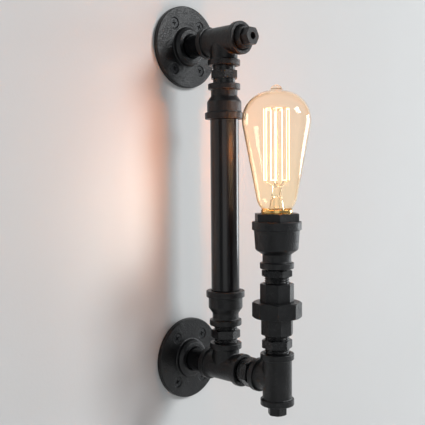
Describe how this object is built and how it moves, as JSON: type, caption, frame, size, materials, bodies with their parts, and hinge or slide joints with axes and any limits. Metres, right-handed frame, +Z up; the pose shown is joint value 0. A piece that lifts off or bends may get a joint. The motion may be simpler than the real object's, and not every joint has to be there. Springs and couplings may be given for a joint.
{
  "type": "pipe wall light",
  "caption": "Wall light built from black pipe fittings: two wall flanges hold a riser, and a union carries an upright lampholder with a long filament bulb.",
  "frame": {"origin": "centre of the lower wall flange, on the wall plane that its back face rests on", "axes": "+Z up along the riser, +Y into the wall, +X to the right as the light is seen from the room"},
  "size_m": [0.079, 0.1735, 0.3861],
  "materials": {
    "black_iron": "satin black paint over malleable iron",
    "black_screws": "satin black steel",
    "holder_ceramic": "unglazed ceramic",
    "holder_brass": "plain",
    "live_insulation": "semi-gloss",
    "neutral_insulation": "semi-gloss",
    "copper": "bright bare copper",
    "cap_brass": "bright",
    "cap_insulator": "black glass",
    "solder": "tin solder",
    "amber_glass": "clear amber",
    "clear_glass": "clear",
    "support_wire": "drawn wire",
    "filament": "lit carbon thread"
  },
  "bodies": {
    "fitting": {"lower_flange": "black_iron", "upper_flange": "black_iron", "lower_wall_nipple": "black_iron", "upper_wall_nipple": "black_iron", "lower_tee": "black_iron", "upper_tee": "black_iron", "upper_plug": "black_iron", "lower_hex_nipple": "black_iron", "upper_hex_nipple": "black_iron", "lower_reducer": "black_iron", "upper_reducer": "black_iron", "riser_pipe": "black_iron", "arm_hex_nipple": "black_iron", "lamp_tee": "black_iron", "lower_plug": "black_iron", "union_hex_nipple": "black_iron", "union_tail": "black_iron", "union_head": "black_iron", "cup_hex_nipple": "black_iron", "lamp_cup": "black_iron", "lamp_ring": "black_iron", "lower_flange_screws": "black_screws", "upper_flange_screws": "black_screws", "holder_body": "holder_ceramic", "screw_shell": "holder_brass", "centre_tongue": "holder_brass", "terminal_rivets": "holder_brass", "live_wire": "live_insulation", "neutral_wire": "neutral_insulation", "supply_cores": "copper"},
    "union_nut_body": {"union_nut": "black_iron"},
    "bulb_travel": {"bulb_contact": "solder"},
    "bulb": {"bulb_cap": "cap_brass", "bulb_insulator": "cap_insulator", "bulb_glass": "amber_glass", "glass_stem": "clear_glass", "lead_wires": "support_wire", "upper_hooks": "support_wire", "lower_hooks": "support_wire", "filament": "filament"}
  },
  "joints": [
    {"name": "union_nut_turn", "type": "hinge", "parent": "fitting", "child": "union_nut_body", "pos_m": [0, -0.1172, 0.0623], "axis": [0, 0, 1], "range_deg": [0, 1080]},
    {"name": "bulb_lift", "type": "slide", "parent": "fitting", "child": "bulb_travel", "axis": [0, 0, 1], "range_m": [0, 0.0182]},
    {"name": "bulb_turn", "type": "hinge", "parent": "bulb_travel", "child": "bulb", "pos_m": [0, -0.1172, 0.18], "axis": [0, 0, 1], "range_deg": [0, 1800]}
  ],
  "couplings": [
    {"joint": "bulb_lift", "follows": "bulb_turn", "m_per_rad": 0.00057757}
  ]
}
